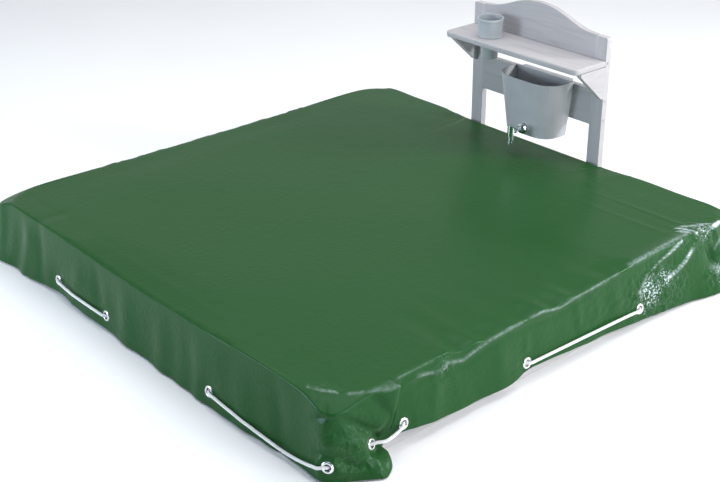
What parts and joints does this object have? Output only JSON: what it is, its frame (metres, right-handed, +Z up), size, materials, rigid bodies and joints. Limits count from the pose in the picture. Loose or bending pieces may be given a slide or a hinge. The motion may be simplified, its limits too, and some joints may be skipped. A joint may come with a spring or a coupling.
{
  "type": "sandbox with cover",
  "caption": "Square wooden garden sandbox under a fitted weatherproof cover with eyelets and elastic, with a small play kitchen on its back wall.",
  "frame": {"origin": "on the ground at the middle of the box", "axes": "+Z up, +Y towards the play kitchen, +X to the right seen from the front"},
  "size_m": [1.624, 1.5719, 0.643],
  "materials": {
    "glazed_wood": "thin light grey glaze, satin, faint grain",
    "cover_film": "coated tarpaulin film, glossy with fine crinkles",
    "elastic_cord": "braided elastic",
    "eyelet_metal": "pressed, bright",
    "tank_plastic": "moulded, satin",
    "cup_plastic": "moulded, satin",
    "tap_chrome": "polished",
    "screw_steel": "zinc plated",
    "rubber": "matt"
  },
  "bodies": {
    "box": {"wall_left": "glazed_wood", "wall_front": "glazed_wood", "wall_back": "glazed_wood", "corner_block_front_left": "glazed_wood", "corner_block_front_right": "glazed_wood", "corner_block_back_right": "glazed_wood", "corner_block_back_left": "glazed_wood", "corner_seat_front_left": "glazed_wood", "corner_seat_front_right": "glazed_wood", "corner_seat_back_right": "glazed_wood", "corner_seat_back_left": "glazed_wood", "wall_right": "glazed_wood", "post_left": "glazed_wood", "post_right": "glazed_wood", "back_board": "glazed_wood", "cross_board": "glazed_wood", "shelf": "glazed_wood", "bracket_left": "glazed_wood", "bracket_right": "glazed_wood", "post_left_bolt_low": "screw_steel", "post_left_bolt_high": "screw_steel", "post_right_bolt_low": "screw_steel", "post_right_bolt_high": "screw_steel", "post_left_screw_low": "screw_steel", "post_left_screw_middle": "screw_steel", "post_left_screw_top": "screw_steel", "post_right_screw_low": "screw_steel", "post_right_screw_middle": "screw_steel", "post_right_screw_top": "screw_steel", "cover_back": "cover_film", "elastic_back_right": "elastic_cord", "elastic_back_left": "elastic_cord", "eyelet_01": "eyelet_metal", "eyelet_02": "eyelet_metal", "eyelet_14": "eyelet_metal", "eyelet_15": "eyelet_metal", "eyelet_16": "eyelet_metal"},
    "cover_flap": {"cover_front": "cover_film", "elastic_front": "elastic_cord", "eyelet_03": "eyelet_metal", "eyelet_04": "eyelet_metal", "eyelet_05": "eyelet_metal", "eyelet_06": "eyelet_metal", "eyelet_07": "eyelet_metal", "eyelet_08": "eyelet_metal", "eyelet_09": "eyelet_metal", "eyelet_10": "eyelet_metal", "eyelet_11": "eyelet_metal", "eyelet_12": "eyelet_metal", "eyelet_13": "eyelet_metal"},
    "tank": {"tank": "tank_plastic", "tap_gasket": "rubber", "tap_body": "tap_chrome", "tap_nut": "tap_chrome"},
    "lever": {"tap_lever": "tap_chrome"},
    "cup": {"cup": "cup_plastic"}
  },
  "joints": [
    {"name": "cover_fold", "type": "hinge", "parent": "box", "child": "cover_flap", "pos_m": [0, 0.35, 0.192], "axis": [-1, 0, 0], "range_deg": [0, 70]},
    {"name": "tank_lift", "type": "slide", "parent": "box", "child": "tank", "axis": [0, 0, 1], "range_m": [0, 0.04]},
    {"name": "tap_turn", "type": "hinge", "parent": "tank", "child": "lever", "pos_m": [0.03, 0.592, 0.288], "axis": [0, 0, 1], "range_deg": [0, 90]},
    {"name": "cup_lift", "type": "slide", "parent": "box", "child": "cup", "axis": [0, 0, 1], "range_m": [0, 0.14]}
  ]
}
